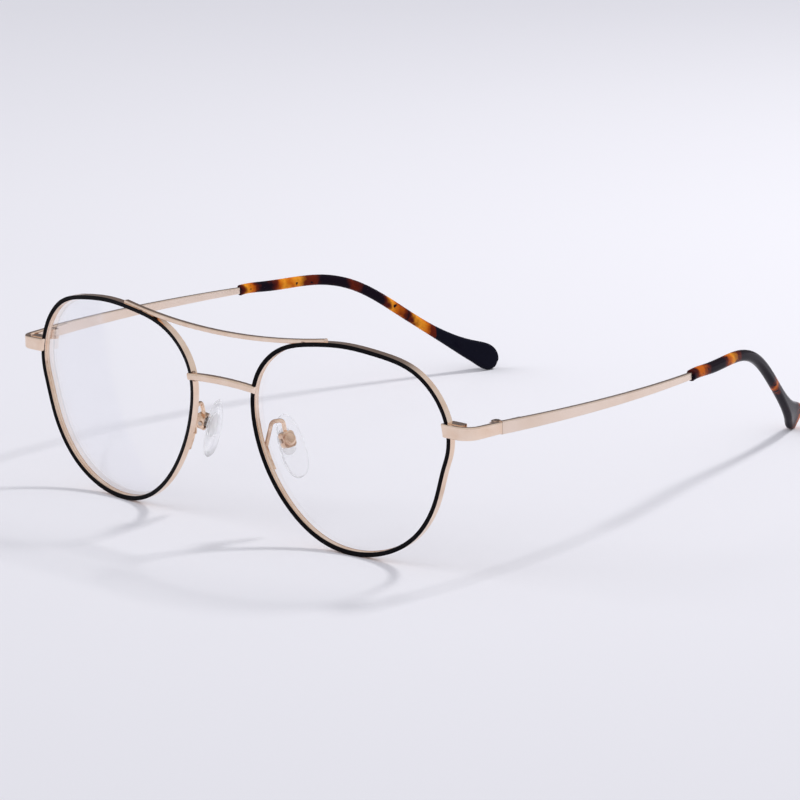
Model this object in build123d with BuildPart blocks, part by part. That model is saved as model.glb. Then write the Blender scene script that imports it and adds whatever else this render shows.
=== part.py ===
from math import cos, radians, sin, tan
import os

from build123d import *

os.makedirs("parts", exist_ok=True)

# Double bridge eyeglasses in thin metal, standing open on a table.
# Millimetres. X runs across the face, and +X is the wearer's left.
# The front looks towards -Y, the temples run back along +Y, and Z is up.
# Every left piece is modelled, and the right one is its mirror image.

# General fits
overrun = 1.0
bore_gap = 0.03
thread_gap = 0.01
seat_gap = 0.04

# Lenses, by the boxing sizes that an optician uses
lens_width = 52.2
lens_height = 45.5
bridge_width = 19.0
lens_base_radius = 137.0
lens_thickness = 1.0
lens_bevel = 0.4
wrap_angle = 4.5
lean_angle = 1.9

# Rims: a grooved wire with a sloped front under black enamel
rim_width = 0.98
rim_depth = 1.7
rim_lap = 0.46
rim_slope_width = 0.8
rim_slope_depth = 0.28
enamel_thickness = 0.12
rim_slit = 0.25

# Bridge between the rims
bridge_height = 1.6
bridge_depth = 1.6
bridge_proud = 0.35
bridge_arch = 0.5
bridge_rise = 9.5
bridge_round = 0.45

# Brow bar on top of the rims
bar_span = 60.6
bar_height = 0.95
bar_depth = 1.35
bar_sag = 2.4
bar_bow = 1.0
bar_set_back = 1.95
bar_drop = 0.6
bar_round = 0.25

# End pieces, from the rim front round to the hinge
arm_thickness = 1.1
end_piece_height = 2.9
end_piece_seam_height = 2.45
end_piece_rise = 8.33
end_piece_proud = 1.0
end_piece_bend_radius = 3.4
end_piece_round = 0.3
hinge_half_width = 69.05
hinge_set_back = 12.9
seam_gap = 0.06

# Closing blocks behind the end pieces, which clamp the rim on the lens
lock_length = 3.4
lock_depth = 2.1
lock_height = 3.1
lock_round = 0.7
lock_screw_radius = 0.5
lock_head_radius = 0.8
lock_head_height = 0.2

# Three knuckle hinges
barrel_radius = 1.1
barrel_gap = 0.15
barrel_set_back = 0.28
knuckle_height = 0.7
knuckle_gap = 0.05
leaf_thickness = 0.6
leaf_round = 0.2
leaf_height = 2.1
front_leaf_length = 3.6
temple_leaf_length = 4.6
hinge_screw_radius = 0.45
hinge_head_radius = 0.8
hinge_head_height = 0.16
slot_width = 0.22
slot_depth = 0.1

# Temples
temple_length = 144.0
temple_front_height = 2.9
temple_rear_height = 1.5
temple_bow_radius = 216.0
temple_splay = 8.65
temple_pitch = 1.55
temple_round = 0.3
temple_line_step = 0.15
bend_start = 83.0
bend_radius = 38.0
bend_angle = 34.0
core_height = 1.1
core_thickness = 0.8
core_round = 0.27
core_entry = 4.0
core_end_cover = 14.0
core_stations = 9

# Acetate tips
tip_length = 80.6
tip_height = 2.55
tip_thickness = 2.2
mouth_bevel = 0.25
tip_edge_round = 0.95
paddle_height = 6.5
paddle_length = 24.0
paddle_lift = 1.78
paddle_twist = 20.0

# Nose pads
pad_length = 14.4
pad_width = 6.3
pad_thickness = 1.7
pad_round = 0.7
pad_half_gap = 11.0
pad_set_back = 7.75
pad_drop = 2.85
pad_splay = 15.0
pad_tilt = 17.5
pad_lean = 4.5
pad_shift_back = 1.7
pad_shift_down = 1.9
core_plate_length = 6.0
core_shift_back = 0.9
core_shift_down = 0.6
core_plate_width = 3.2
core_plate_thickness = 0.6
stem_length = 1.2
stem_width = 1.8

# Pad arms and boxes
arm_wire_radius = 0.45
arm_foot_length = 4.8
arm_foot_thickness = 0.7
arm_foot_width_share = 0.7
arm_foot_place_share = 0.94
arm_foot_drop = 5.5
arm_loop_rise = 2.9
arm_loop_half_gap = 11.5
arm_loop_set_back = 1.5
arm_loop_narrowing = 0.6
arm_bend_radius = 1.1
box_length = 3.6
box_width = 2.9
box_depth = 1.9
box_wall = 0.45
box_round = 0.85
box_back_gap = 0.25
box_dome = 0.75
box_dome_round = 0.65
pad_screw_radius = 0.3
pad_head_radius = 0.5
pad_head_height = 0.25

# Places that follow from the sizes above
rim_outer = rim_width - rim_lap
half_outline = lens_height / 2 + rim_outer
outline_sag = half_outline**2 / (2 * lens_base_radius)
wrap = radians(wrap_angle)
lean = radians(lean_angle)
lens_x = (bridge_width + lens_width) / 2
lens_z = half_outline * cos(lean) - outline_sag * sin(lean)
lens_plane = Plane(
    origin=(lens_x, 0, lens_z),
    x_dir=(cos(wrap), sin(wrap) * cos(lean), sin(wrap) * sin(lean)),
    z_dir=(sin(wrap), -cos(wrap) * cos(lean), -cos(wrap) * sin(lean)),
)
lens_axis = Axis(lens_plane.origin, lens_plane.z_dir)
curve_centre = lens_plane.from_local_coords((0, 0, -lens_base_radius))
prism_back = rim_depth + 4 * outline_sag
prism_front = 2 * rim_depth
rim_front_radius = lens_base_radius - enamel_thickness
rim_back_radius = lens_base_radius - rim_depth
groove_middle_radius = (rim_front_radius - rim_slope_depth + rim_back_radius) / 2
rim_side_front = (lens_width / 2) ** 2 / (2 * lens_base_radius) + lens_width / 2 * sin(wrap)
arm_z = lens_z + end_piece_rise

# Aviator outline as shares of half the lens width and half its height,
# from the outer side up over the top, the nose side and the bottom
outline_shares = [
    (0.98, 0.05),
    (0.97, 0.49),
    (0.70, 0.85),
    (0.33, 0.97),
    (0.01, 1.00),
    (-0.31, 0.97),
    (-0.69, 0.85),
    (-0.97, 0.50),
    (-0.98, 0.05),
    (-0.84, -0.37),
    (-0.62, -0.70),
    (-0.30, -0.94),
    (0.01, -1.00),
    (0.32, -0.94),
    (0.65, -0.72),
    (0.86, -0.37),
]
outline_points = [(x * lens_width / 2, y * lens_height / 2) for x, y in outline_shares]
lens_outline = Spline(outline_points, periodic=True)


def grown_outline(growth):
    """Points of the lens outline, each moved outwards by growth."""
    runs = [lens_outline % lens_outline.param_at_point(point) for point in outline_points]
    return [Vector(x, y) + Vector(run.Y, -run.X) * growth for (x, y), run in zip(outline_points, runs)]


def outline_prism(growth):
    """Solid with the lens outline, grown by growth, along the lens axis."""
    with BuildPart() as prism:
        with BuildSketch(lens_plane.offset(-prism_back)):
            with BuildLine():
                Spline(grown_outline(growth), periodic=True)
            make_face()
        extrude(amount=prism_back + prism_front)
    return prism.part


def mirrored(solid):
    """Mirror image of a left piece, for the right side."""
    return mirror(solid, about=Plane.YZ, mode=Mode.PRIVATE)


outer_prism = outline_prism(rim_outer)
inner_prism = outline_prism(-rim_lap)


def rim_blank(front_radius):
    """Plain ring round the lens, its front sloped in towards the lens."""
    with BuildPart() as blank:
        add(outer_prism)
        with Locations(curve_centre):
            Sphere(front_radius, mode=Mode.INTERSECT)
            Sphere(rim_back_radius, mode=Mode.SUBTRACT)
        add(inner_prism, mode=Mode.SUBTRACT)
        front_face = blank.faces().filter_by(GeomType.SPHERE).sort_by(lens_axis)[-1]
        slope_edges = front_face.inner_wires()[0].edges()
        chamfer(slope_edges, rim_slope_width, rim_slope_depth, reference=front_face)
    return blank.part


def lens_solid(growth, thickness, bevel):
    """Curved lens with a bevel round its edge, or the groove that takes it."""
    with BuildPart() as lens:
        add(outline_prism(growth))
        with Locations(curve_centre):
            Sphere(groove_middle_radius + thickness / 2, mode=Mode.INTERSECT)
            Sphere(groove_middle_radius - thickness / 2, mode=Mode.SUBTRACT)
        edge_face = lens.faces().filter_by(GeomType.SPHERE, reverse=True)
        chamfer(edge_face.edges(), bevel)
    return lens.part


# Lens, clear, with a bevelled edge that sits in the groove
with BuildPart() as left_lens:
    add(lens_solid(0, lens_thickness, lens_bevel))

# Rim: wire round the lens, with the groove inside and a slit at the closing block
metal_blank = rim_blank(rim_front_radius)
with BuildPart() as left_rim:
    add(metal_blank)
    add(lens_solid(seat_gap, lens_thickness + 2 * seat_gap, lens_bevel), mode=Mode.SUBTRACT)
    with Locations((lens_x + lens_width / 2, 0, arm_z)):
        Box(lens_width / 4, prism_back, rim_slit, mode=Mode.SUBTRACT)

# Bridge: a rounded bar with a low arch, its ends lapped over both rim fronts
bridge_front = lens_base_radius - (lens_base_radius**2 - (lens_width / 2) ** 2) ** 0.5
bridge_y = bridge_front - lens_width / 2 * sin(wrap) - bridge_proud + bridge_depth / 2
bridge_z = lens_z + bridge_rise
bridge_half = bridge_width / 2 + rim_width
with BuildPart() as bridge:
    with BuildLine() as bridge_line:
        ThreePointArc(
            (-bridge_half, bridge_y, bridge_z),
            (0, bridge_y, bridge_z + bridge_arch),
            (bridge_half, bridge_y, bridge_z),
        )
    bridge_path = bridge_line.line
    with BuildSketch(Plane(origin=bridge_path @ 0, x_dir=(0, 1, 0), z_dir=bridge_path % 0)):
        RectangleRounded(bridge_depth, bridge_height, bridge_round)
    sweep()
    for keep_out in (metal_blank, inner_prism):
        add(keep_out, mode=Mode.SUBTRACT)
        add(mirrored(keep_out), mode=Mode.SUBTRACT)

# Brow bar: a thin strip that sags from rim top to rim top
bar_z = lens_z + half_outline + bar_height / 2 - bar_drop
with BuildPart() as brow_bar:
    with BuildLine() as bar_line:
        ThreePointArc(
            (-bar_span / 2, bar_set_back, bar_z),
            (0, bar_set_back - bar_bow, bar_z - bar_sag),
            (bar_span / 2, bar_set_back, bar_z),
        )
    bar_path = bar_line.line
    with BuildSketch(Plane(origin=bar_path @ 0, x_dir=(0, 1, 0), z_dir=bar_path % 0)):
        RectangleRounded(bar_depth, bar_height, bar_round)
    sweep()
    add(outer_prism, mode=Mode.SUBTRACT)
    add(mirrored(outer_prism), mode=Mode.SUBTRACT)

# Hinge plane: at the seam between end piece and temple, x outwards, y along the temple
splay = radians(temple_splay)
hinge_plane = Plane(
    origin=(hinge_half_width, hinge_set_back, arm_z),
    x_dir=(cos(splay), -sin(splay), 0),
    z_dir=(0, 0, 1),
)

# End piece: a strip from the rim front round the bend to the hinge
lap_y = rim_side_front - end_piece_proud + arm_thickness / 2
seam_end = hinge_plane.from_local_coords((0, -seam_gap / 2, 0))
side_run = (seam_end.Y - lap_y) / cos(splay)
bend_corner = hinge_plane.from_local_coords((0, -seam_gap / 2 - side_run, 0))
with BuildPart() as left_end_piece:
    with BuildSketch(Plane.XY.offset(arm_z - end_piece_height / 2)):
        with BuildLine():
            FilletPolyline(
                (lens_x + lens_width / 2 - rim_width, lap_y),
                (bend_corner.X, bend_corner.Y),
                (seam_end.X, seam_end.Y),
                radius=end_piece_bend_radius,
            )
        trace(line_width=arm_thickness)
    extrude(amount=end_piece_height)
    taper_start = lap_y - arm_thickness
    taper_end = seam_end.Y + arm_thickness
    with BuildSketch(Plane.YZ):
        with BuildLine():
            Polyline(
                (taper_start, arm_z + end_piece_height / 2),
                (taper_end, arm_z + end_piece_seam_height / 2),
                (taper_end, arm_z - end_piece_seam_height / 2),
                (taper_start, arm_z - end_piece_height / 2),
                close=True,
            )
        make_face()
    extrude(amount=2 * hinge_half_width, mode=Mode.INTERSECT)
    long_edges = left_end_piece.edges().filter_by(Axis.Z, reverse=True)
    fillet(long_edges.filter_by(lambda e: e.length > 2 * arm_thickness), end_piece_round)
    add(metal_blank, mode=Mode.SUBTRACT)
    add(inner_prism, mode=Mode.SUBTRACT)

# Enamel: a black layer on the rim front, in two runs between the bridge and the end piece
with BuildPart() as left_rim_enamel:
    add(rim_blank(lens_base_radius))
    add(metal_blank, mode=Mode.SUBTRACT)
    add(bridge.part, mode=Mode.SUBTRACT)
    add(left_end_piece.part, mode=Mode.SUBTRACT)

# Closing block: two halves with the rim ends soldered to them, and their screw
lock_start = lens_x + lens_width / 2 - rim_width
lock_front = lap_y + arm_thickness / 2
lock_reach = rim_width + rim_outer + lock_length
lock_axis = (
    lens_x + lens_width / 2 + rim_outer + lock_length / 2,
    lock_front + lock_depth / 2,
)
lock_halves = {}
for half, side in (("upper", 1), ("lower", -1)):
    half_height = (lock_height - rim_slit) / 2
    middle = arm_z + side * (rim_slit / 2 + half_height / 2)
    with BuildPart() as lock_half:
        with Locations((lock_start + lock_reach / 2, lock_front + lock_depth / 2, middle)):
            Box(lock_reach, lock_depth, half_height)
        rear_edges = lock_half.edges().filter_by(Axis.Z).group_by(Axis.X)[-1]
        fillet(rear_edges, lock_round)
        add(outer_prism, mode=Mode.SUBTRACT)
        add(left_end_piece.part, mode=Mode.SUBTRACT)
        with Locations((lock_axis[0], lock_axis[1], middle)):
            Cylinder(lock_screw_radius + thread_gap, lock_height, mode=Mode.SUBTRACT)
    lock_halves[half] = lock_half.part

with BuildPart() as left_rim_lock_screw:
    with Locations((lock_axis[0], lock_axis[1], arm_z)):
        Cylinder(lock_screw_radius, lock_height)
    with Locations((lock_axis[0], lock_axis[1], arm_z - lock_height / 2 - lock_head_height / 2)):
        Cylinder(lock_head_radius, lock_head_height)
    with Locations((lock_axis[0], lock_axis[1], arm_z - lock_height / 2 - lock_head_height)):
        Box(2 * lock_head_radius, slot_width, 2 * slot_depth, mode=Mode.SUBTRACT)

# Hinge: knuckles and leaves drawn in the hinge plane
barrel_x = -arm_thickness / 2 - barrel_gap - barrel_radius
barrel_height = 3 * knuckle_height + 2 * knuckle_gap
knuckle_step = knuckle_height + knuckle_gap
clear_radius = barrel_radius + barrel_gap


def knuckle(height_middle, height, web_start, web_end):
    """One barrel knuckle and the web that joins it to its leaf."""
    with BuildPart() as knuckle_part:
        with BuildSketch(hinge_plane.offset(height_middle - height / 2)):
            with Locations((barrel_x, barrel_set_back)):
                Circle(barrel_radius)
            with Locations(((barrel_x - arm_thickness / 2) / 2, (web_start + web_end) / 2)):
                Rectangle(-arm_thickness / 2 - barrel_x, web_end - web_start)
        extrude(amount=height)
    return knuckle_part.part


# Leaf with two knuckles, soldered inside the end piece
with BuildPart() as left_front_hinge:
    leaf_end = barrel_set_back - clear_radius
    with BuildSketch(hinge_plane.offset(-leaf_height / 2)):
        with Locations((-(arm_thickness + leaf_thickness) / 2, leaf_end - front_leaf_length / 2)):
            Rectangle(leaf_thickness, front_leaf_length)
    extrude(amount=leaf_height)
    for side in (1, -1):
        add(knuckle(side * knuckle_step, knuckle_height, leaf_end - leaf_thickness, -seam_gap))
    with Locations(hinge_plane.from_local_coords((barrel_x, barrel_set_back, 0))):
        Cylinder(hinge_screw_radius + thread_gap, barrel_height + overrun, mode=Mode.SUBTRACT)
    add(left_end_piece.part, mode=Mode.SUBTRACT)

# Hinge screw, head on top
with BuildPart() as left_hinge_screw:
    with Locations(hinge_plane.from_local_coords((barrel_x, barrel_set_back, 0))):
        Cylinder(hinge_screw_radius, barrel_height)
    head_middle = (barrel_height + hinge_head_height) / 2
    with Locations(hinge_plane.from_local_coords((barrel_x, barrel_set_back, head_middle))):
        Cylinder(hinge_head_radius, hinge_head_height)
    slot_middle = barrel_height / 2 + hinge_head_height
    with Locations(hinge_plane.from_local_coords((barrel_x, barrel_set_back, slot_middle))):
        Box(2 * hinge_head_radius, slot_width, 2 * slot_depth, mode=Mode.SUBTRACT)

# Temple line: bowed outwards in plan, and bent down behind the ear
pitch = radians(temple_pitch)
bend = radians(bend_angle)


def temple_point(run):
    """Point on the temple's centre line, at a length from the seam."""
    turn = min(max((run - bend_start) / bend_radius, 0), bend)
    straight = min(run, bend_start)
    rest = max(run - bend_start - bend_radius * bend, 0)
    level = straight * cos(pitch) + rest * cos(pitch + bend)
    level += bend_radius * (sin(pitch + turn) - sin(pitch))
    drop = straight * sin(pitch) + rest * sin(pitch + bend)
    drop += bend_radius * (cos(pitch) - cos(pitch + turn))
    heading = splay - level / temple_bow_radius
    return Vector(
        hinge_half_width + temple_bow_radius * (cos(heading) - cos(splay)),
        hinge_set_back + temple_bow_radius * (sin(splay) - sin(heading)),
        arm_z - drop,
    )


def temple_plane(run):
    """Plane square to the temple line, x inwards across it and y up."""
    ahead = temple_point(run + temple_line_step) - temple_point(run - temple_line_step)
    across = Vector(-ahead.Y, ahead.X, 0)
    return Plane(origin=temple_point(run), x_dir=across, z_dir=ahead)


# Temple: a tapered strip, drawn down to a core wire inside the tip
tip_start = temple_length - tip_length
strip_end = tip_start + core_entry
core_end = temple_length - core_end_cover
seam_start = seam_gap / 2
with BuildPart() as left_temple:
    with BuildSketch(Plane.XY.offset(arm_z - temple_front_height * 2)):
        with BuildLine():
            RadiusArc(
                (temple_point(seam_start).X, temple_point(seam_start).Y),
                (temple_point(strip_end).X, temple_point(strip_end).Y),
                -temple_bow_radius,
            )
        trace(line_width=arm_thickness)
    extrude(amount=temple_front_height * 4)
    side_x = hinge_half_width * 2
    front_point = temple_point(-overrun)
    rear_point = temple_point(strip_end + overrun)
    with BuildSketch(Plane.YZ):
        with BuildLine():
            Polyline(
                (front_point.Y, front_point.Z + temple_front_height / 2),
                (rear_point.Y, rear_point.Z + temple_rear_height / 2),
                (rear_point.Y, rear_point.Z - temple_rear_height / 2),
                (front_point.Y, front_point.Z - temple_front_height / 2),
                close=True,
            )
        make_face()
    extrude(amount=side_x, mode=Mode.INTERSECT)
    strip_edges = left_temple.edges().filter_by(lambda e: e.length > strip_end / 2)
    fillet(strip_edges, temple_round)
    for index in range(core_stations):
        run = strip_end - overrun + index * (core_end - strip_end + overrun) / (core_stations - 1)
        with BuildSketch(temple_plane(run)):
            RectangleRounded(core_thickness, core_height, core_round)
    loft(ruled=True)

# Leaf with one knuckle, soldered inside the temple
with BuildPart() as left_temple_hinge:
    leaf_start = barrel_set_back + clear_radius
    with BuildSketch(hinge_plane.offset(-leaf_height / 2)):
        with Locations((-(arm_thickness + leaf_thickness) / 2, leaf_start + temple_leaf_length / 2)):
            Rectangle(leaf_thickness, temple_leaf_length)
        fillet(vertices().group_by(Axis.Y)[-1], leaf_round)
    extrude(amount=leaf_height)
    add(knuckle(0, knuckle_height, barrel_set_back, leaf_start + leaf_thickness))
    with Locations(hinge_plane.from_local_coords((barrel_x, barrel_set_back, 0))):
        Cylinder(hinge_screw_radius + bore_gap, barrel_height + overrun, mode=Mode.SUBTRACT)
    add(left_temple.part, mode=Mode.SUBTRACT)

# Acetate tip: slim, bent with the temple, and flared to a rounded and slightly twisted paddle
tip_plain = tip_length - paddle_length
paddle_gain = paddle_height - tip_height

# Sections of the plain run, as shares of its length
plain_shares = [0, 0.15, 0.3, 0.45, 0.6, 0.75, 0.9]

# Sections of the paddle, as shares of its length, its gain in height, the tip's
# thickness and its lift
paddle_shares = [
    (0.00, 0.00, 1.00, 0.00),
    (0.16, 0.05, 1.00, 0.05),
    (0.32, 0.16, 1.00, 0.16),
    (0.48, 0.34, 1.00, 0.34),
    (0.64, 0.62, 0.97, 0.62),
    (0.78, 0.92, 0.94, 0.92),
    (0.87, 1.00, 0.91, 1.00),
    (0.93, 0.82, 0.86, 1.00),
    (0.97, 0.50, 0.76, 1.00),
    (1.00, 0.00, 0.55, 1.00),
]

# Length along the tip, height, thickness, lift of the section's middle, and twist
tip_sections = [(tip_plain * share, tip_height, tip_thickness, 0, 0) for share in plain_shares]
for along, gain, thick, raised in paddle_shares:
    height = tip_height + paddle_gain * gain
    lift = paddle_lift * raised
    twist = paddle_twist * raised
    tip_sections.append((tip_plain + paddle_length * along, height, tip_thickness * thick, lift, twist))
with BuildPart() as left_temple_tip:
    for run, height, thickness, lift, twist in tip_sections:
        corner = tip_edge_round * thickness / tip_thickness
        with BuildSketch(temple_plane(tip_start + run)):
            with Locations((0, lift)):
                RectangleRounded(thickness, height, corner, rotation=twist)
    loft()
    mouth_face = left_temple_tip.faces().sort_by(Axis.Y)[0]
    chamfer(mouth_face.edges(), mouth_bevel)
    add(left_temple.part, mode=Mode.SUBTRACT)

# Nose pad plane: at the pad's stem, x towards the back, y up the pad, z out to the arm
pad_up = Vector(-tan(radians(pad_tilt)), -tan(radians(pad_lean)), 1)
pad_out = Vector(sin(radians(pad_splay)), cos(radians(pad_splay)), 0).cross(pad_up)
pad_plane = Plane(
    origin=(pad_half_gap, pad_set_back, lens_z - pad_drop),
    x_dir=pad_up.cross(pad_out),
    z_dir=pad_out,
)
pad_axis = Axis(pad_plane.origin, pad_plane.z_dir)
box_floor = pad_thickness / 2 + box_back_gap
box_middle = box_floor + box_depth / 2
screw_level = box_floor + (box_depth - box_wall) / 2
pad_cross_plane = Plane(
    origin=pad_plane.from_local_coords((0, 0, screw_level)),
    x_dir=pad_plane.y_dir,
    z_dir=pad_plane.x_dir,
)

# Pad core: a plate inside the pad with a stem for the screw
with BuildPart() as left_pad_core:
    with BuildSketch(pad_plane.offset(-core_plate_thickness / 2)):
        with Locations((core_shift_back, -core_shift_down)):
            SlotOverall(core_plate_length, core_plate_width, rotation=90)
    extrude(amount=core_plate_thickness)
    with BuildSketch(pad_cross_plane.offset(-stem_width / 2)):
        Circle(stem_length / 2)
        with Locations((0, -screw_level / 2)):
            Rectangle(stem_length, screw_level)
    extrude(amount=stem_width)
    with BuildSketch(pad_cross_plane.offset(-stem_width / 2 - overrun)):
        Circle(pad_screw_radius + bore_gap)
    extrude(amount=stem_width + 2 * overrun, mode=Mode.SUBTRACT)

# Soft pad moulded round the core, egg shaped with its narrow end up
pad_shares = [(0, 1), (0.72, 0.70), (0.95, 0.2), (1, -0.25), (0.76, -0.76)]
pad_shares += [(-x, y) for x, y in [(0, -1)] + pad_shares[:0:-1]]
pad_points = [(x * pad_width / 2, y * pad_length / 2) for x, y in pad_shares]
with BuildPart() as left_nose_pad:
    with BuildSketch(pad_plane.offset(-pad_thickness / 2)):
        with Locations((pad_shift_back, -pad_shift_down)):
            with BuildLine():
                Spline(pad_points, periodic=True)
            make_face()
    extrude(amount=pad_thickness)
    fillet(left_nose_pad.edges(), pad_round)
    add(left_pad_core.part, mode=Mode.SUBTRACT)

# Box that the stem swings in, with a domed back
with BuildPart() as left_pad_box:
    with BuildSketch(pad_plane.offset(box_floor)):
        RectangleRounded(box_width, box_length, box_round)
    extrude(amount=box_depth)
    with BuildSketch(pad_plane.offset(box_floor + box_depth)):
        Circle(box_width / 2)
    extrude(amount=box_dome)
    dome_edge = left_pad_box.edges().filter_by(GeomType.CIRCLE).sort_by(pad_axis)[-1]
    fillet(dome_edge, box_dome_round)
    with BuildSketch(pad_plane.offset(box_floor)):
        Rectangle(box_width - 2 * box_wall, box_length - 2 * box_wall)
    extrude(amount=box_depth - box_wall, mode=Mode.SUBTRACT)
    with BuildSketch(pad_cross_plane.offset(-box_width / 2 - overrun)):
        Circle(pad_screw_radius + thread_gap)
    extrude(amount=box_width + 2 * overrun, mode=Mode.SUBTRACT)

# Pad screw, from the front of the box through the stem
with BuildPart() as left_pad_screw:
    with BuildSketch(pad_cross_plane.offset(-box_width / 2)):
        Circle(pad_screw_radius)
    extrude(amount=box_width)
    with BuildSketch(pad_cross_plane.offset(-box_width / 2 - pad_head_height)):
        Circle(pad_head_radius)
    extrude(amount=pad_head_height)

# Pad arm: a foot soldered along the rim's back, and a wire that loops over to the box
foot_side = -lens_width / 2 * arm_foot_place_share
foot_high = arm_foot_length / 2 - 2 * arm_wire_radius - arm_foot_drop
foot_sag = (foot_side**2 + foot_high**2) / (2 * lens_base_radius)
foot_level = -foot_sag - rim_depth - arm_foot_thickness / 2
foot_top = lens_plane.from_local_coords((foot_side, foot_high, foot_level))
box_top = pad_plane.from_local_coords((0, box_length / 2 - box_wall / 2, box_middle))
with BuildPart() as left_pad_arm:
    add(outline_prism(rim_outer * arm_foot_width_share))
    add(outline_prism(-rim_lap * arm_foot_width_share), mode=Mode.SUBTRACT)
    with Locations(curve_centre):
        Sphere(rim_back_radius, mode=Mode.INTERSECT)
        Sphere(rim_back_radius - arm_foot_thickness, mode=Mode.SUBTRACT)
    with Locations((lens_x - lens_width / 2, 0, lens_z - arm_foot_drop)):
        Box(lens_width / 2, lens_width / 2, arm_foot_length, mode=Mode.INTERSECT)
    with BuildLine() as arm_line:
        FilletPolyline(
            (foot_top.X, foot_top.Y, foot_top.Z),
            (arm_loop_half_gap, foot_top.Y + arm_loop_set_back, box_top.Z + arm_loop_rise),
            (box_top.X, box_top.Y - arm_loop_narrowing, box_top.Z + arm_loop_rise),
            (box_top.X, box_top.Y, box_top.Z),
            radius=arm_bend_radius,
        )
    arm_path = arm_line.line
    with BuildSketch(Plane(origin=arm_path @ 0, z_dir=arm_path % 0)):
        Circle(arm_wire_radius)
    sweep()
    add(left_rim.part, mode=Mode.SUBTRACT)
    add(left_pad_box.part, mode=Mode.SUBTRACT)

left_pieces = {
    "lens": left_lens.part,
    "rim": left_rim.part,
    "rim_enamel": left_rim_enamel.part,
    "end_piece": left_end_piece.part,
    "rim_lock_upper": lock_halves["upper"],
    "rim_lock_lower": lock_halves["lower"],
    "rim_lock_screw": left_rim_lock_screw.part,
    "front_hinge": left_front_hinge.part,
    "hinge_screw": left_hinge_screw.part,
    "temple": left_temple.part,
    "temple_hinge": left_temple_hinge.part,
    "temple_tip": left_temple_tip.part,
    "pad_core": left_pad_core.part,
    "nose_pad": left_nose_pad.part,
    "pad_box": left_pad_box.part,
    "pad_screw": left_pad_screw.part,
    "pad_arm": left_pad_arm.part,
}
pieces = {"bridge": bridge.part, "brow_bar": brow_bar.part}
for name, piece in left_pieces.items():
    pieces[f"left_{name}"] = piece
    pieces[f"right_{name}"] = mirrored(piece)

# Stand the glasses on the floor, with the middle of their depth at the origin
boxes = [piece.bounding_box() for piece in pieces.values()]
middle_y = (min(box.min.Y for box in boxes) + max(box.max.Y for box in boxes)) / 2
to_floor = Location((0, -middle_y, -min(box.min.Z for box in boxes)))
for name, piece in pieces.items():
    placed = piece.moved(to_floor)
    placed.label = name
    export_step(placed, f"parts/{name}.step")
    box = placed.bounding_box()
    print(name, len(placed.solids()), round(placed.volume, 2), box.min, box.max, placed.is_valid)

print("shift", to_floor.position)
print("hinge axis through", hinge_plane.from_local_coords((barrel_x, barrel_set_back, 0)) + to_floor.position)
print("pad axis through", pad_cross_plane.origin + to_floor.position, pad_cross_plane.z_dir)
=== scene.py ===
from math import cos, pi, radians, sin, tan

import bmesh
import bpy
from mathutils import Matrix, Vector


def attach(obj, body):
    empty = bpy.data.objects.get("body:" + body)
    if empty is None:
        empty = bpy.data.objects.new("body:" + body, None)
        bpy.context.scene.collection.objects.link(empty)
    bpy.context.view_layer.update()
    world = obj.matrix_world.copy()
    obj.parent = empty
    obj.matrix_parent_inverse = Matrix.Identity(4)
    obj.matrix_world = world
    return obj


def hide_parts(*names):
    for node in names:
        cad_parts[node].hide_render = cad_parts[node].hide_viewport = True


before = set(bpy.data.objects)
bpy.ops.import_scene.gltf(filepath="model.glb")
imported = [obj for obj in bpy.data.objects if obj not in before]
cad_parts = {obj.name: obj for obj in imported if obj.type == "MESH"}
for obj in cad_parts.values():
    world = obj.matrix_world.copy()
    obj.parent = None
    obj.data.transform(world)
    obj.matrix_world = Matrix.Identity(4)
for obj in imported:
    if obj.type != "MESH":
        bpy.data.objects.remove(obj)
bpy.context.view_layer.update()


# Camera
# The photograph's viewing angle: a long lens from the wearer's left, a little above the table,
# with the camera tipped by about one degree.
MM = 0.001
camera_target = Vector((-11.26, -3.34, 12.92)) * MM
camera_distance = 858.1 * MM
camera_azimuth = radians(42.56)
camera_elevation = radians(14.61)
camera_roll = radians(-1.30)
camera_data = bpy.data.cameras.new("camera")
camera_data.lens = 165.82
camera_data.sensor_width = 36.0
camera_data.clip_start = 10 * MM
camera_data.clip_end = 20.0
camera = bpy.data.objects.new("camera", camera_data)
bpy.context.scene.collection.objects.link(camera)
back = Vector((
    sin(camera_azimuth) * cos(camera_elevation),
    -cos(camera_azimuth) * cos(camera_elevation),
    sin(camera_elevation),
))
level_right = Vector((cos(camera_azimuth), sin(camera_azimuth), 0))
level_up = back.cross(level_right)
right = level_right * cos(camera_roll) + level_up * sin(camera_roll)
up = level_up * cos(camera_roll) - level_right * sin(camera_roll)
turn = Matrix((right, up, back)).transposed().to_4x4()
camera.matrix_world = Matrix.Translation(camera_target + back * camera_distance) @ turn
bpy.context.scene.camera = camera
bpy.context.scene.view_settings.view_transform = "Standard"


# Studio
# A small key light high behind the glasses throws their shadows forwards. A pale tent stands
# all round, with one dim stretch low at the back, so that flat top edges stay dark.
world = bpy.data.worlds.new("studio")
bpy.context.scene.world = world
world.use_nodes = True
nodes, links = world.node_tree.nodes, world.node_tree.links
background = next(node for node in nodes if node.type == "BACKGROUND")
background.inputs["Strength"].default_value = 1.0
direction = nodes.new("ShaderNodeTexCoord")
backwards = nodes.new("ShaderNodeVectorMath")
backwards.operation = "DOT_PRODUCT"
backwards.inputs[1].default_value = Vector((-0.65, 0.71, 0.25)).normalized()
dim = nodes.new("ShaderNodeMapRange")
dim.interpolation_type = "SMOOTHSTEP"
dim.inputs["From Min"].default_value = 0.66
dim.inputs["From Max"].default_value = 0.95
tent = nodes.new("ShaderNodeMix")
tent.data_type = "RGBA"
tent.inputs["A"].default_value = (0.665, 0.665, 0.69, 1)
tent.inputs["B"].default_value = (0.17, 0.155, 0.16, 1)
links.new(direction.outputs["Generated"], backwards.inputs[0])
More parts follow.
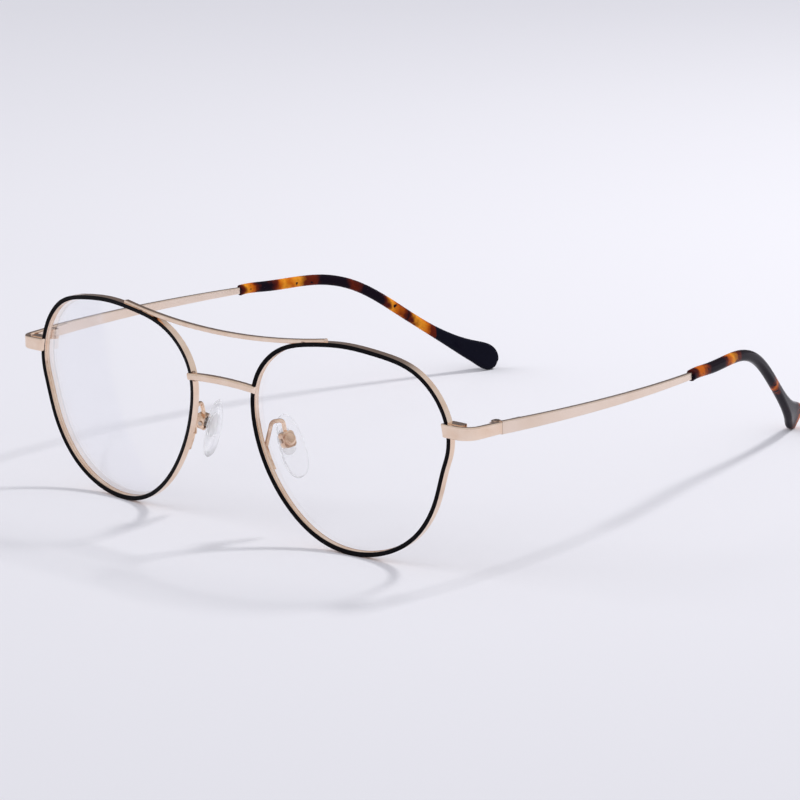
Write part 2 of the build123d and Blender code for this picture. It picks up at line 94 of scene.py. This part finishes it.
links.new(backwards.outputs["Value"], dim.inputs["Value"])
links.new(dim.outputs["Result"], tent.inputs["Factor"])
links.new(tent.outputs["Result"], background.inputs["Color"])


def area_light(name, place, size, power, colour):
    """Square area light that looks at the middle of the glasses."""
    data = bpy.data.lights.new(name, "AREA")
    data.size = size
    data.energy = power
    data.color = colour
    lamp = bpy.data.objects.new(name, data)
    lamp.location = place
    lamp.visible_glossy = False
    lamp.rotation_euler = (camera_target - Vector(place)).to_track_quat("-Z", "Y").to_euler()
    bpy.context.scene.collection.objects.link(lamp)


area_light("key", place=(0.17, 0.50, 0.66), size=0.12, power=2.9, colour=(1.0, 0.985, 0.96))
area_light("front_fill", place=(-2.2, -1.4, 1.5), size=1.8, power=24.0, colour=(1.0, 1.0, 1.0))


# Table
# One pale sheet with a faint blue cast, dull enough to show no reflection of the glasses.
# It reaches far past what any view of the glasses shows.
table_half = 6.0
table_mesh = bpy.data.meshes.new("table")
table_corners = [(x * table_half, y * table_half, 0) for x, y in ((-1, -1), (1, -1), (1, 1), (-1, 1))]
table_mesh.from_pydata(table_corners, [], [(0, 1, 2, 3)])
table = bpy.data.objects.new("table", table_mesh)
bpy.context.scene.collection.objects.link(table)
paper = bpy.data.materials.new("table_paper")
paper.use_nodes = True
nodes, links = paper.node_tree.nodes, paper.node_tree.links
shader = nodes["Principled BSDF"]
shader.inputs["Roughness"].default_value = 0.9
shader.inputs["Specular IOR Level"].default_value = 0.0
place = nodes.new("ShaderNodeTexCoord")
cloud = nodes.new("ShaderNodeTexNoise")
cloud.inputs["Scale"].default_value = 2.5
shade = nodes.new("ShaderNodeValToRGB")
shade.color_ramp.elements[0].color = (0.79, 0.79, 0.85, 1)
shade.color_ramp.elements[1].color = (0.82, 0.82, 0.87, 1)
links.new(place.outputs["Object"], cloud.inputs["Vector"])
links.new(cloud.outputs["Fac"], shade.inputs["Fac"])
links.new(shade.outputs["Color"], shader.inputs["Base Color"])
table_mesh.materials.append(paper)


# Rims and closing blocks
# Drawn wire with a groove for the lens, bent to the aviator outline and soldered to the blocks
# that a screw pulls together. All of it is plated in pale rose gold and polished.
SIDES = {"left": 1, "right": -1}


def new_group(name, inputs, outputs):
    """Node group with named sockets, and its two end nodes."""
    group = bpy.data.node_groups.new(name, "ShaderNodeTree")
    for socket_name, kind, value in inputs:
        group.interface.new_socket(socket_name, in_out="INPUT", socket_type=kind).default_value = value
    for socket_name, kind in outputs:
        group.interface.new_socket(socket_name, in_out="OUTPUT", socket_type=kind)
    return group, group.nodes.new("NodeGroupInput"), group.nodes.new("NodeGroupOutput")


def plated_metal_group():
    """Colour, roughness and normal of plated metal with a fine grain and soft marks."""
    group, start, end = new_group(
        "plated_metal",
        [
            ("Light", "NodeSocketColor", (0.9, 0.72, 0.62, 1)),
            ("Deep", "NodeSocketColor", (0.75, 0.55, 0.45, 1)),
            ("Smooth", "NodeSocketFloat", 0.2),
            ("Rough", "NodeSocketFloat", 0.32),
            ("Grain", "NodeSocketFloat", 0.04),
            ("Marks per metre", "NodeSocketFloat", 260.0),
        ],
        [("Color", "NodeSocketColor"), ("Roughness", "NodeSocketFloat"), ("Normal", "NodeSocketVector")],
    )
    nodes, links = group.nodes, group.links
    place = nodes.new("ShaderNodeTexCoord")
    # The marks mix Deep into Light at random; with the deep tones of the pad arms and the solder beads
    # they are painted reflection and painted shade.
    marks = nodes.new("ShaderNodeTexNoise")
    marks.inputs["Detail"].default_value = 5.0
    grain = nodes.new("ShaderNodeTexNoise")
    grain.inputs["Scale"].default_value = 5200.0
    grain.inputs["Detail"].default_value = 2.0
    spread = nodes.new("ShaderNodeMapRange")
    spread.inputs["From Min"].default_value = 0.35
    spread.inputs["From Max"].default_value = 0.65
    tone = nodes.new("ShaderNodeMix")
    tone.data_type = "RGBA"
    polish = nodes.new("ShaderNodeMapRange")
    bump = nodes.new("ShaderNodeBump")
    bump.inputs["Distance"].default_value = 0.02 * MM
    links.new(place.outputs["Object"], marks.inputs["Vector"])
    links.new(place.outputs["Object"], grain.inputs["Vector"])
    links.new(start.outputs["Marks per metre"], marks.inputs["Scale"])
    links.new(marks.outputs["Fac"], spread.inputs["Value"])
    links.new(spread.outputs["Result"], tone.inputs["Factor"])
    links.new(start.outputs["Deep"], tone.inputs["A"])
    links.new(start.outputs["Light"], tone.inputs["B"])
    links.new(marks.outputs["Fac"], polish.inputs["Value"])
    links.new(start.outputs["Smooth"], polish.inputs["To Min"])
    links.new(start.outputs["Rough"], polish.inputs["To Max"])
    links.new(grain.outputs["Fac"], bump.inputs["Height"])
    links.new(start.outputs["Grain"], bump.inputs["Strength"])
    links.new(tone.outputs["Result"], end.inputs["Color"])
    links.new(polish.outputs["Result"], end.inputs["Roughness"])
    links.new(bump.outputs["Normal"], end.inputs["Normal"])
    return group


plated_metal = plated_metal_group()


def metal_material(name, light, deep, smooth, rough, grain, marks):
    """Plated metal, from the shared group."""
    material = bpy.data.materials.new(name)
    material.use_nodes = True
    nodes, links = material.node_tree.nodes, material.node_tree.links
    shader = nodes["Principled BSDF"]
    shader.inputs["Metallic"].default_value = 1.0
    surface = nodes.new("ShaderNodeGroup")
    surface.node_tree = plated_metal
    for socket_name, value in (
        ("Light", light), ("Deep", deep), ("Smooth", smooth), ("Rough", rough), ("Grain", grain),
        ("Marks per metre", marks),
    ):
        surface.inputs[socket_name].default_value = value
    for socket_name, target in (("Color", "Base Color"), ("Roughness", "Roughness"), ("Normal", "Normal")):
        links.new(surface.outputs[socket_name], shader.inputs[target])
    return material


def dress(node, material):
    """Gives a CAD node its material."""
    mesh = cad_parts[node].data
    mesh.materials.clear()
    mesh.materials.append(material)
    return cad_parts[node]


rose_gold_polished = metal_material(
    "rose_gold_polished", light=(0.93, 0.75, 0.61, 1), deep=(0.84, 0.63, 0.48, 1),
    smooth=0.10, rough=0.20, grain=0.03, marks=260.0,
)
for side in SIDES:
    dress(f"{side}_rim", rose_gold_polished)
    dress(f"{side}_rim_lock_upper", rose_gold_polished)
    dress(f"{side}_rim_lock_lower", rose_gold_polished)


# Rim enamel
# Black enamel flowed over the front of each rim, between the bridge and the end piece. It is
# glossy, and its surface is slightly uneven.
black_enamel = bpy.data.materials.new("black_enamel")
black_enamel.use_nodes = True
nodes, links = black_enamel.node_tree.nodes, black_enamel.node_tree.links
shader = nodes["Principled BSDF"]
shader.inputs["Specular IOR Level"].default_value = 0.03
place = nodes.new("ShaderNodeTexCoord")
flow = nodes.new("ShaderNodeTexNoise")
flow.inputs["Scale"].default_value = 900.0
tone = nodes.new("ShaderNodeValToRGB")
tone.color_ramp.elements[0].color = (0.002, 0.002, 0.003, 1)
tone.color_ramp.elements[1].color = (0.008, 0.007, 0.008, 1)
gloss = nodes.new("ShaderNodeMapRange")
gloss.inputs["To Min"].default_value = 0.10
gloss.inputs["To Max"].default_value = 0.20
bump = nodes.new("ShaderNodeBump")
bump.inputs["Strength"].default_value = 0.12
bump.inputs["Distance"].default_value = 0.02 * MM
links.new(place.outputs["Object"], flow.inputs["Vector"])
links.new(flow.outputs["Fac"], tone.inputs["Fac"])
links.new(flow.outputs["Fac"], gloss.inputs["Value"])
links.new(flow.outputs["Fac"], bump.inputs["Height"])
links.new(tone.outputs["Color"], shader.inputs["Base Color"])
links.new(gloss.outputs["Result"], shader.inputs["Roughness"])
links.new(bump.outputs["Normal"], shader.inputs["Normal"])
for side in SIDES:
    dress(f"{side}_rim_enamel", black_enamel)


# Lenses
# Thin clear lenses, ground to a bevel that sits in the rim's groove. A coating keeps their
# reflection faint, except at a low angle.
clear_lens = bpy.data.materials.new("clear_lens")
clear_lens.use_nodes = True
nodes, links = clear_lens.node_tree.nodes, clear_lens.node_tree.links
shader = nodes["Principled BSDF"]
shader.inputs["Metallic"].default_value = 1.0
shader.inputs["Roughness"].default_value = 0.03
facing = nodes.new("ShaderNodeLayerWeight")
facing.inputs["Blend"].default_value = 0.2
clear = nodes.new("ShaderNodeMapRange")
clear.inputs["To Min"].default_value = 0.002
clear.inputs["To Max"].default_value = 0.30
place = nodes.new("ShaderNodeTexCoord")
coating = nodes.new("ShaderNodeTexNoise")
coating.inputs["Scale"].default_value = 40.0
tint = nodes.new("ShaderNodeValToRGB")
tint.color_ramp.elements[0].color = (0.90, 0.92, 0.97, 1)
tint.color_ramp.elements[1].color = (0.95, 0.94, 0.98, 1)
links.new(facing.outputs["Fresnel"], clear.inputs["Value"])
links.new(clear.outputs["Result"], shader.inputs["Alpha"])
links.new(place.outputs["Object"], coating.inputs["Vector"])
links.new(coating.outputs["Fac"], tint.inputs["Fac"])
links.new(tint.outputs["Color"], shader.inputs["Base Color"])
for side in SIDES:
    dress(f"{side}_lens", clear_lens)


# Bridge and brow bar
# A rounded bar with a low arch between the rims, and a thin strip across the rim tops. Both
# are soldered to the rims before plating and polished with them.
for name in ("bridge", "brow_bar"):
    dress(name, rose_gold_polished)


# Solder beads, painted dark as shade
# Small lumps of silver solder that ran out of the joints of the bridge and the brow bar, left
# after filing and plated over with the frame. Their plate is painted much darker than the rims,
# mottled down to near black, as painted shade of the small gaps where the bars meet the rims.
# Each has a place, half sizes and some lumps.
solder_beads = {
    "bridge_bead_upper": ((9.05, -71.9, 33.75), (0.38, 0.45, 0.34), 3),
    "bridge_bead_lower": ((8.75, -71.9, 32.1), (0.34, 0.45, 0.34), 2),
    "bar_bead": ((24.6, -72.22, 45.52), (0.5, 0.16, 0.14), 2),
}
bead_turns = 20
bead_rings = 10
bead_lump_share = 0.10
bead_waist_share = 0.05
# Near black deep tone: painted shade of the small gaps where the bars meet the rims.
solder_with_painted_shade = metal_material(
    "solder_with_painted_shade", light=(0.50, 0.36, 0.28, 1), deep=(0.09, 0.055, 0.045, 1),
    smooth=0.16, rough=0.34, grain=0.12, marks=1600.0,
)


def solder_bead(name, place, radii, lumps):
    """Lumpy bead of solder, closed at both ends, on the front of the glasses."""
    bm = bmesh.new()
    rings = []
    for step in range(1, bead_rings):
        tilt = pi * step / bead_rings
        ring = []
        for index in range(bead_turns):
            angle = 2 * pi * index / bead_turns
            swell = 1 + bead_lump_share * sin(lumps * angle + tilt) + bead_waist_share * cos(2 * tilt)
            spot = Vector((
                radii[0] * sin(tilt) * cos(angle) * swell,
                radii[1] * sin(tilt) * sin(angle) * swell,
                radii[2] * cos(tilt),
            ))
            ring.append(bm.verts.new((Vector(place) + spot) * MM))
        rings.append(ring)
    for above, below in zip(rings, rings[1:]):
        for index in range(bead_turns):
            after = (index + 1) % bead_turns
            bm.faces.new((above[index], above[after], below[after], below[index]))
    for ring, end in ((rings[0], radii[2]), (rings[-1], -radii[2])):
        tip = bm.verts.new((Vector(place) + Vector((0, 0, end))) * MM)
        for index in range(bead_turns):
            bm.faces.new((ring[index], ring[(index + 1) % bead_turns], tip))
    bmesh.ops.recalc_face_normals(bm, faces=bm.faces)
    mesh = bpy.data.meshes.new(name)
    bm.to_mesh(mesh)
    bm.free()
    mesh.shade_smooth()
    # The dark solder plate paints the shade of the gaps at the joints.
    mesh.materials.append(solder_with_painted_shade)
    bead = bpy.data.objects.new(name, mesh)
    bpy.context.scene.collection.objects.link(bead)
    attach(bead, "front")


for side, sign in SIDES.items():
    for name, ((out, front, level), radii, lumps) in solder_beads.items():
        solder_bead(f"{side}_{name}", (sign * out, front, level), radii, lumps)


# End pieces
# Flat strips soldered over the rim fronts and bent back to the hinges. They carry the same
# plate as the rims.
for side in SIDES:
    dress(f"{side}_end_piece", rose_gold_polished)


# Temples and hinges
# Tapered strips with a satin plate, drawn down to a core wire inside the tips. The hinge
# leaves are milled, soldered to the strips' inner sides and plated with them.
rose_gold_satin = metal_material(
    "rose_gold_satin", light=(0.86, 0.71, 0.60, 1), deep=(0.81, 0.65, 0.53, 1),
    smooth=0.20, rough=0.28, grain=0.03, marks=120.0,
)
for side in SIDES:
    for name in ("temple", "temple_hinge", "front_hinge"):
        dress(f"{side}_{name}", rose_gold_satin)


# Screws
# Turned steel screws with slotted heads, for the hinges, the closing blocks and the pads.
# Their plate is worn to a darker tone than the rims.
screw_steel = metal_material(
    "screw_steel", light=(0.70, 0.61, 0.54, 1), deep=(0.40, 0.33, 0.28, 1),
    smooth=0.18, rough=0.34, grain=0.08, marks=900.0,
)
for side in SIDES:
    for name in ("hinge_screw", "pad_screw", "rim_lock_screw"):
        dress(f"{side}_{name}", screw_steel)


# Temple tips
# Polished acetate, cut from a sheet of near black with amber and red brown patches, slipped
# over the core wire and bent hot. The patches differ from tip to tip.
tip_mouth = 2.8
tip_reach = 70.3
acetate_colours = {
    "black": (0.008, 0.004, 0.009, 1),
    "brown": (0.12, 0.014, 0.005, 1),
    "amber": (0.56, 0.12, 0.006, 1),
    "honey": (0.84, 0.31, 0.022, 1),
}
acetate_navy = (0.006, 0.006, 0.013, 1)


def wandering_length_group():
    """Share of the tip's length, shifted by soft noise, and a mask of small dark flecks."""
    group, start, end = new_group(
        "wandering_length",
        [
            ("Mouth", "NodeSocketFloat", 0.0),
            ("End", "NodeSocketFloat", 1.0),
            ("Wander", "NodeSocketFloat", 0.002),
        ],
        [("Along", "NodeSocketFloat"), ("Plain", "NodeSocketFloat"), ("Flecks", "NodeSocketFloat")],
    )
    nodes, links = group.nodes, group.links
    place = nodes.new("ShaderNodeTexCoord")
    split = nodes.new("ShaderNodeSeparateXYZ")
    drift = nodes.new("ShaderNodeTexNoise")
    drift.inputs["Scale"].default_value = 330.0
    drift.inputs["Detail"].default_value = 2.0
    centred = nodes.new("ShaderNodeMath")
    centred.operation = "SUBTRACT"
    centred.inputs[1].default_value = 0.5
    shift = nodes.new("ShaderNodeMath")
    shift.operation = "MULTIPLY_ADD"
    fleck = nodes.new("ShaderNodeTexNoise")
    fleck.inputs["Scale"].default_value = 620.0
    fleck.inputs["Detail"].default_value = 1.0
    fleck_edge = nodes.new("ShaderNodeMapRange")
    fleck_edge.interpolation_type = "SMOOTHSTEP"
    fleck_edge.inputs["From Min"].default_value = 0.64
    fleck_edge.inputs["From Max"].default_value = 0.76
    links.new(place.outputs["Object"], split.inputs[0])
    links.new(place.outputs["Object"], drift.inputs["Vector"])
    links.new(place.outputs["Object"], fleck.inputs["Vector"])
    links.new(drift.outputs["Fac"], centred.inputs[0])
    links.new(centred.outputs[0], shift.inputs[0])
    links.new(start.outputs["Wander"], shift.inputs[1])
    links.new(split.outputs["Y"], shift.inputs[2])
    for source, socket_name in ((shift.outputs[0], "Along"), (split.outputs["Y"], "Plain")):
        span = nodes.new("ShaderNodeMapRange")
        links.new(source, span.inputs["Value"])
        links.new(start.outputs["Mouth"], span.inputs["From Min"])
        links.new(start.outputs["End"], span.inputs["From Max"])
        links.new(span.outputs["Result"], end.inputs[socket_name])
    links.new(fleck.outputs["Fac"], fleck_edge.inputs["Value"])
    links.new(fleck_edge.outputs["Result"], end.inputs["Flecks"])
    return group


wandering_length = wandering_length_group()


def acetate_material(name, patches, paddle_start):
    """Acetate with patches at lengths from the mouth, and a plain dark paddle."""
    material = bpy.data.materials.new(name)
    material.use_nodes = True
    nodes, links = material.node_tree.nodes, material.node_tree.links
    shader = nodes["Principled BSDF"]
    shader.inputs["Specular IOR Level"].default_value = 0.035
    length = nodes.new("ShaderNodeGroup")
    length.node_tree = wandering_length
    length.inputs["Mouth"].default_value = tip_mouth * MM
    length.inputs["End"].default_value = (tip_mouth + tip_reach) * MM
    length.inputs["Wander"].default_value = 4.5 * MM
    ramp = nodes.new("ShaderNodeValToRGB")
    stops = ramp.color_ramp.elements
    stops.remove(stops[1])
    stops[0].position = 0.0
    stops[0].color = acetate_colours[patches[0][1]]
    for run, colour in patches[1:]:
        stops.new(run / tip_reach).color = acetate_colours[colour]
    flecked = nodes.new("ShaderNodeMix")
    flecked.data_type = "RGBA"
    flecked.inputs["B"].default_value = acetate_colours["black"]
    seam = nodes.new("ShaderNodeMapRange")
    seam.inputs["From Min"].default_value = paddle_start / tip_reach
    seam.inputs["From Max"].default_value = paddle_start / tip_reach + 0.004
    paddle = nodes.new("ShaderNodeMix")
    paddle.data_type = "RGBA"
    paddle.inputs["B"].default_value = acetate_navy
    gloss = nodes.new("ShaderNodeMapRange")
    gloss.inputs["To Min"].default_value = 0.09
    gloss.inputs["To Max"].default_value = 0.16
    links.new(length.outputs["Along"], ramp.inputs["Fac"])
    links.new(length.outputs["Flecks"], flecked.inputs["Factor"])
    links.new(ramp.outputs["Color"], flecked.inputs["A"])
    links.new(length.outputs["Plain"], seam.inputs["Value"])
    links.new(seam.outputs["Result"], paddle.inputs["Factor"])
    links.new(flecked.outputs["Result"], paddle.inputs["A"])
    links.new(paddle.outputs["Result"], shader.inputs["Base Color"])
    links.new(length.outputs["Flecks"], gloss.inputs["Value"])
    links.new(gloss.outputs["Result"], shader.inputs["Roughness"])
    return material


left_patches = [
    (0.0, "black"), (1.6, "brown"), (2.6, "amber"), (5.0, "amber"), (6.4, "brown"), (8.0, "black"),
    (14.0, "black"), (15.8, "brown"), (17.0, "amber"), (19.4, "honey"), (21.4, "brown"),
    (23.5, "black"), (44.0, "black"), (45.6, "brown"), (47.0, "amber"), (48.0, "brown"),
    (49.2, "black"), (65.5, "black"), (67.0, "brown"), (69.0, "amber"),
]
right_patches = [
    (0.0, "black"), (1.2, "brown"), (2.2, "honey"), (4.0, "amber"), (5.0, "brown"), (5.8, "black"),
    (9.0, "black"), (10.2, "brown"), (11.4, "amber"), (13.0, "honey"), (15.0, "amber"), (16.6, "honey"),
    (18.4, "brown"), (21.6, "brown"), (23.6, "black"), (29.8, "black"), (32.2, "brown"),
    (34.6, "black"), (39.8, "black"), (41.0, "brown"), (42.0, "honey"), (44.2, "amber"),
    (45.8, "brown"), (47.0, "black"), (48.2, "brown"), (49.2, "honey"), (51.4, "amber"),
    (52.6, "brown"),
]
dress("left_temple_tip", acetate_material("tortoise_acetate_left", left_patches, tip_reach))
dress("right_temple_tip", acetate_material("tortoise_acetate_right", right_patches, 53.5))


# Pad arms and boxes
# Soft wire looped over from a foot behind the rim, with a small domed box soldered to its
# end. They are plated with the rims in a warmer tone, mottled at random between pale and much
# deeper as painted reflections of dark and bright surroundings on the small bent metal.
warm_rose_gold_painted_reflections = metal_material(
    "warm_rose_gold_painted_reflections", light=(0.95, 0.72, 0.54, 1), deep=(0.66, 0.43, 0.29, 1),
    smooth=0.12, rough=0.22, grain=0.03, marks=600.0,
)
for side in SIDES:
    dress(f"{side}_pad_arm", warm_rose_gold_painted_reflections)
    dress(f"{side}_pad_box", warm_rose_gold_painted_reflections)


# Nose pads
# Clear silicone moulded round a small core plate, crowned towards the nose and flatter
# behind. The core's stem comes out at the back and hangs on the screw in the box.
pad_height = 14.4
pad_width = 6.3
pad_thickness = 1.7
pad_tilt = radians(17.5)
pad_lean = radians(4.5)
pad_splay = radians(15.0)
pad_stem = Vector((11.0, -65.375, 20.441))
pad_middle_back = 1.7
pad_middle_down = 1.9
pad_narrowing = 0.10
pad_fullness = 2.3
pad_nose_crown = 2.4
pad_rim_crown = 5.0
pad_turns = 64
pad_rings = 12


def pad_outline(angle):
    """Place on the edge of the egg shaped pad, narrow end up, as shares of its half sizes."""
    across = abs(cos(angle)) ** (2 / pad_fullness)
    along = abs(sin(angle)) ** (2 / pad_fullness)
    along = along if sin(angle) > 0 else -along
    across = across if cos(angle) > 0 else -across
    return across * (1 - pad_narrowing * along), along


def nose_pad(side, sign):
    """Closed pad, built in rings from its edge to the middle of the nose and rim faces."""
    pad_up = Vector((-tan(pad_tilt), -tan(pad_lean), 1)).normalized()
    pad_out = Vector((sin(pad_splay), cos(pad_splay), 0)).cross(pad_up).normalized()
    pad_back = pad_up.cross(pad_out)
    bm = bmesh.new()

    def point(across, along, level):
        spot = pad_stem + pad_back * (pad_middle_back + across * pad_width / 2)
        spot += pad_up * (along * pad_height / 2 - pad_middle_down) + pad_out * level
        return bm.verts.new(Vector((spot.x * sign, spot.y, spot.z)) * MM)

    def ring(share, level):
        angles = [2 * pi * step / pad_turns for step in range(pad_turns)]
        return [point(*(share * value for value in pad_outline(angle)), level) for angle in angles]

    edge = ring(1.0, 0.0)
    for way, crown in ((-1, pad_nose_crown), (1, pad_rim_crown)):
        outer = edge
        for step in range(1, pad_rings):
            share = cos(pi / 2 * step / pad_rings)
            inner = ring(share, way * pad_thickness / 2 * (1 - share**crown) ** 0.5)
            for index in range(pad_turns):
                after = (index + 1) % pad_turns
                bm.faces.new((outer[index], outer[after], inner[after], inner[index]))
            outer = inner
        middle = point(0, 0, way * pad_thickness / 2)
        for index in range(pad_turns):
            bm.faces.new((outer[index], outer[(index + 1) % pad_turns], middle))
    bmesh.ops.recalc_face_normals(bm, faces=bm.faces)
    mesh = bpy.data.meshes.new(f"{side}_soft_pad")
    bm.to_mesh(mesh)
    bm.free()
    mesh.shade_smooth()
    mesh.materials.append(clear_silicone)
    pad = bpy.data.objects.new(f"{side}_soft_pad", mesh)
    bpy.context.scene.collection.objects.link(pad)
    return pad


clear_silicone = bpy.data.materials.new("clear_silicone")
clear_silicone.use_nodes = True
nodes, links = clear_silicone.node_tree.nodes, clear_silicone.node_tree.links
shader = nodes["Principled BSDF"]
shader.inputs["Transmission Weight"].default_value = 0.7
shader.inputs["IOR"].default_value = 1.41
shader.inputs["Specular IOR Level"].default_value = 0.4
facing = nodes.new("ShaderNodeLayerWeight")
facing.inputs["Blend"].default_value = 0.35
thickness = nodes.new("ShaderNodeMapRange")
thickness.inputs["To Min"].default_value = 0.12
thickness.inputs["To Max"].default_value = 0.90
place = nodes.new("ShaderNodeTexCoord")
milk = nodes.new("ShaderNodeTexNoise")
milk.inputs["Scale"].default_value = 500.0
milky = nodes.new("ShaderNodeValToRGB")
milky.color_ramp.elements[0].color = (0.93, 0.94, 0.96, 1)
milky.color_ramp.elements[1].color = (0.99, 0.99, 1.0, 1)
soft = nodes.new("ShaderNodeMapRange")
soft.inputs["To Min"].default_value = 0.05
soft.inputs["To Max"].default_value = 0.16
links.new(facing.outputs["Facing"], thickness.inputs["Value"])
links.new(thickness.outputs["Result"], shader.inputs["Alpha"])
links.new(place.outputs["Object"], milk.inputs["Vector"])
links.new(milk.outputs["Fac"], milky.inputs["Fac"])
links.new(milk.outputs["Fac"], soft.inputs["Value"])
links.new(milky.outputs["Color"], shader.inputs["Base Color"])
links.new(soft.outputs["Result"], shader.inputs["Roughness"])
for side, sign in SIDES.items():
    pad = nose_pad(side, sign)
    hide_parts(f"{side}_nose_pad")
    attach(pad, f"{side}_pad")


# Pad cores
# A small plate of hard clear plastic inside each pad, with the stem that the pad hangs by.
# It shows only faintly through the silicone.
clear_core = bpy.data.materials.new("clear_core")
clear_core.use_nodes = True
nodes, links = clear_core.node_tree.nodes, clear_core.node_tree.links
shader = nodes["Principled BSDF"]
shader.inputs["Transmission Weight"].default_value = 0.6
shader.inputs["IOR"].default_value = 1.45
shader.inputs["Alpha"].default_value = 0.35
place = nodes.new("ShaderNodeTexCoord")
moulded = nodes.new("ShaderNodeTexNoise")
moulded.inputs["Scale"].default_value = 700.0
cast = nodes.new("ShaderNodeValToRGB")
cast.color_ramp.elements[0].color = (0.84, 0.82, 0.80, 1)
cast.color_ramp.elements[1].color = (0.94, 0.93, 0.92, 1)
links.new(place.outputs["Object"], moulded.inputs["Vector"])
links.new(moulded.outputs["Fac"], cast.inputs["Fac"])
links.new(cast.outputs["Color"], shader.inputs["Base Color"])
for side in SIDES:
    dress(f"{side}_pad_core", clear_core)
